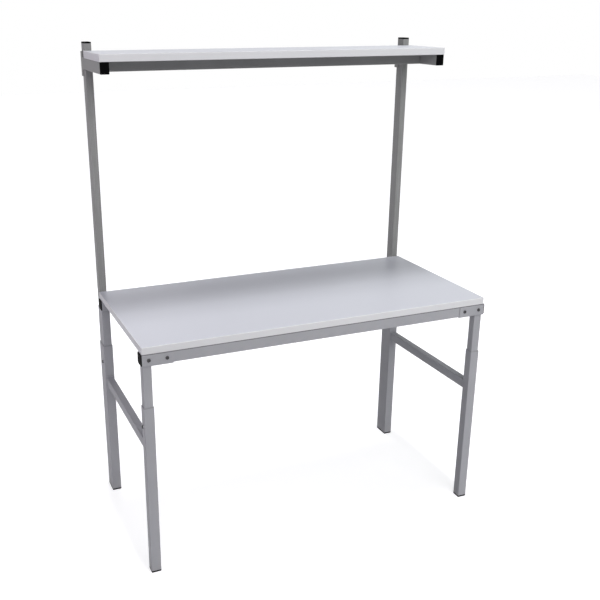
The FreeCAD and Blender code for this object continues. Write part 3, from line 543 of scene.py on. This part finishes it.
# Painted shade: a darker copy of the legs' grey, standing in for the shade on the uprights and
# under the shelf.
SHADED_PAINT = ((0.241, 0.242, 0.236, 1.0), (0.259, 0.260, 0.254, 1.0))

upright_paint = powder_coat("upright_paint", SHADED_PAINT, rubbed_upright)
dress(upright_paint, *(f"{side}_upright" for side in SIDES))
dress(cap_plastic, *(f"{side}_upright_cap" for side in SIDES))
dress(blackened_steel, "upright_bolts")

# ---- Shelf frame and its weld seams --------------------------------------------------------------
# Two arms and a cross rail of flat tube; bent collars on the arms slide on the uprights and clamp
# there. Painted in the uprights' darker grey, which is painted shade, with black caps in front.
# Fillet seams stand in the corners at the cross rail; the other seams are ground flush.

ARM_SEAM = 0.0028
STRAIGHT_SEAM_STEPS = 121

# The darker grey of the shelf frame is painted shade, as on the uprights.
shelf_paint = powder_coat("shelf_paint", SHADED_PAINT)
dress(shelf_paint, "shelf_cross_rail")
dress(shelf_paint, *(f"{side}_shelf_{part}" for side in SIDES for part in ("arm", "collar")))
dress(cap_plastic, *(f"{side}_shelf_arm_cap" for side in SIDES))
dress(blackened_steel, "shelf_clamp_screws")
dress(zinc_steel, "shelf_clamp_inserts")


def straight_seam(start, end, outward, onward, leg):
    """A seam along a straight corner, line(s) = (1 - s) * start + s * end, tapered at both ends."""
    s = np.linspace(0.0, 1.0, STRAIGHT_SEAM_STEPS)[:, None]
    line = (1 - s) * np.asarray(start) + s * np.asarray(end)
    return fillet_seam(line, np.broadcast_to(outward, line.shape), onward, leg, False)


low, high = (np.array(corner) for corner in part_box("shelf_cross_rail"))
bottom, top = low[2] + TUBE_BEND, high[2] - TUBE_BEND
seams = [straight_seam((arm, rail, bottom), (arm, rail, top), outward, inward, ARM_SEAM)
         for arm, inward in ((low[0], RIGHT), (high[0], -RIGHT))
         for rail, outward in ((low[1], -REAR), (high[1], REAR))]
seams_piece("shelf_frame_seams", seams, "shelf", shelf_paint)

# ---- Shelf board ---------------------------------------------------------------------------------
# The same laminated chipboard as the worktop, narrower, screwed on the arms and the cross rail.
# Its edge carries the same glued plastic band.

dress(laminate, "shelf_panel")
dress(edge_band("shelf_band", "shelf_panel"), "shelf_edge_band")
dress(zinc_steel, "shelf_screws")

# ---- Floor and backdrop --------------------------------------------------------------------------
# A plain pale floor that runs out into a white background; it keeps the object's soft shadow.
# A flat, faintly uneven sheet, lit like the object; seen directly or mirrored it glows a little.

FLOOR = (0.48, 0.48, 0.50, 1.0)
FLOOR_PALE = (0.52, 0.52, 0.54, 1.0)
FLOOR_CLOUD_GRAIN = 3.0
FLOOR_ROUGHNESS = (0.75, 0.85)
FLOOR_ROUGHNESS_GRAIN = 40.0
FLOOR_GRAIN = 300.0
FLOOR_GRAIN_DEPTH = 0.0001
FLOOR_GLOW = 0.72
FLOOR_REACH = 20.0
FLOOR_POINTS = 9
WHITE = (1.0, 1.0, 1.0, 1.0)
AMBIENT = 0.02
AMBIENT_TINT = (0.97, 0.98, 1.0, 1.0)

across = np.linspace(-FLOOR_REACH, FLOOR_REACH, FLOOR_POINTS)
corners = np.stack([*np.meshgrid(across, across), np.zeros((FLOOR_POINTS, FLOOR_POINTS))], -1)
cell = np.arange(FLOOR_POINTS - 1)
cell = (cell[:, None] * FLOOR_POINTS + cell).ravel()
quads = np.stack([cell, cell + 1, cell + FLOOR_POINTS + 1, cell + FLOOR_POINTS], 1)
sheet = bpy.data.meshes.new("floor")
sheet.from_pydata(corners.reshape(-1, 3).tolist(), [], quads.tolist())
floor = bpy.data.objects.new("floor", sheet)
bpy.context.scene.collection.objects.link(floor)


def background_ray(tree):
    """One for a ray that shows the background: seen directly, in a reflection or through glass."""
    ray = put(tree, "ShaderNodeLightPath").outputs
    mirrored = maths(tree, "MAXIMUM", ray["Is Glossy Ray"], ray["Is Transmission Ray"])
    return maths(tree, "MAXIMUM", ray["Is Camera Ray"], mirrored)


floor_finish, tree, shader, point = finish_of("pale_floor")
lay_on(tree, shader, tinted(tree, noise(tree, point, FLOOR_CLOUD_GRAIN), FLOOR, FLOOR_PALE),
       span(tree, noise(tree, point, FLOOR_ROUGHNESS_GRAIN), *FLOOR_ROUGHNESS),
       noise(tree, point, FLOOR_GRAIN), FLOOR_GRAIN_DEPTH)
glow = maths(tree, "MULTIPLY", background_ray(tree), FLOOR_GLOW)
glow = put(tree, "ShaderNodeEmission", {"Color": WHITE, "Strength": glow})
summed = put(tree, "ShaderNodeAddShader", {0: shader.outputs[0], 1: glow.outputs[0]})
tree.links.new(summed.outputs[0], tree.nodes["Material Output"].inputs["Surface"])
sheet.materials.append(floor_finish)

world = bpy.data.worlds.new("studio")
world.use_nodes = True
bpy.context.scene.world = world
tree = world.node_tree
fill = tree.nodes["Background"]
fill.inputs["Color"].default_value = AMBIENT_TINT
fill.inputs["Strength"].default_value = AMBIENT
white = put(tree, "ShaderNodeBackground", {"Color": WHITE, "Strength": 1.0})
mixed = put(tree, "ShaderNodeMixShader",
            {0: background_ray(tree), 1: fill.outputs[0], 2: white.outputs[0]})
tree.links.new(mixed.outputs[0], tree.nodes["World Output"].inputs["Surface"])

# ---- Light and camera ----------------------------------------------------------------------------
# Two far strips overhead, which the shelf partly keeps off the rear of the worktop, a soft sun from
# the front and a weak one from the left; small boxes fill in, faintly tint the ends and light the
# rear. The camera stands in front on the left, a little above the shelf.

# Each sun: its turn, height and breadth in degrees, its strength and its tint.
SUN_DISTANCE = 6.0
SUNS = {
    "front": (-90.0, 31.0, 40.0, 1.32, (1.0, 0.99, 1.0)),
    "left": (180.0, 36.0, 40.0, 0.205, (1.0, 0.97, 1.05)),
}
# Each box: its place, what it is turned to, its sides, its power and its tint.
BOXES = {
    "overhead": ((0.0, -1.2, 20.0), (0.0, 0.0, 1.0), (0.8, 4.0), 1350.0, (1.0, 1.0, 1.0)),
    "overhead_rear": ((0.0, 1.7, 20.0), (0.0, 0.0, 1.0), (0.8, 3.6), 900.0, (1.0, 1.0, 1.0)),
    "front_top": ((0.0, -1.9, 2.9), (0.0, 0.0, 0.9), (1.6, 1.0), 9.0, (1.0, 1.0, 1.0)),
    "front_low": ((0.6, -1.9, 0.75), (0.3, -0.3, 0.65), (1.8, 0.8), 3.5, (1.0, 1.0, 1.0)),
    "left_top": ((-2.0, -0.2, 1.9), (-0.75, 0.1, 1.2), (1.0, 1.0), 5.2, (0.92, 0.82, 1.0)),
    "right": ((1.9, -1.4, 2.7), (0.6, -0.3, 0.95), (1.2, 1.2), 10.5, (0.92, 1.0, 0.98)),
    "rear_low": ((0.0, 3.4, 0.85), (0.0, 0.3, 0.9), (1.2, 1.2), 18.0, (1.0, 1.0, 1.0)),
    "far_right": ((2.7, 2.5, 2.15), (0.5, -0.2, 0.97), (2.2, 1.6), 3.4, (0.90, 1.0, 0.99)),
}
PICTURE = 600.0
CAMERA_PLACE = Vector((-1.44450, -3.18969, 2.13888))
CAMERA_AIM = Vector((0.014093, 0.289476, 0.800))
CAMERA_ROLL = 0.0021
FOCAL_PIXELS = 851.2537
VIEW_MIDDLE = (263.815, 308.801)
SENSOR = 36.0


def set_up(lamp, name, place, aim):
    """A lamp on its stand, turned to what it lights and out of the picture."""
    stand = bpy.data.objects.new(name, lamp)
    stand.location = place
    stand.rotation_euler = (Vector(aim) - Vector(place)).to_track_quat("-Z", "Y").to_euler()
    stand.visible_camera = False
    bpy.context.scene.collection.objects.link(stand)


for name, (turn, height, breadth, strength, tint) in SUNS.items():
    lamp = bpy.data.lights.new(name, "SUN")
    lamp.angle, lamp.energy, lamp.color = np.radians(breadth), strength, tint
    turn, height = np.radians((turn, height))
    set_up(lamp, name, (SUN_DISTANCE * np.cos(turn) * np.cos(height),
                        SUN_DISTANCE * np.sin(turn) * np.cos(height),
                        SUN_DISTANCE * np.sin(height)), (0.0, 0.0, 0.0))
for name, (place, aim, sides, power, tint) in BOXES.items():
    lamp = bpy.data.lights.new(name, "AREA")
    lamp.shape, lamp.energy, lamp.color = "RECTANGLE", power, tint
    lamp.size, lamp.size_y = sides
    set_up(lamp, name, place, aim)

lens = bpy.data.cameras.new("camera")
lens.sensor_width = SENSOR
lens.lens = FOCAL_PIXELS / PICTURE * SENSOR
lens.shift_x = 0.5 - VIEW_MIDDLE[0] / PICTURE
lens.shift_y = VIEW_MIDDLE[1] / PICTURE - 0.5
camera = bpy.data.objects.new("camera", lens)
ahead = (CAMERA_AIM - CAMERA_PLACE).normalized()
level = ahead.cross(Vector(UP)).normalized()
stance = Matrix((level, level.cross(ahead), -ahead)).transposed()
stance = stance @ Matrix.Rotation(CAMERA_ROLL, 3, "Z")
camera.matrix_world = Matrix.Translation(CAMERA_PLACE) @ stance.to_4x4()
bpy.context.scene.collection.objects.link(camera)
bpy.context.scene.camera = camera
bpy.context.scene.view_settings.view_transform = "Standard"
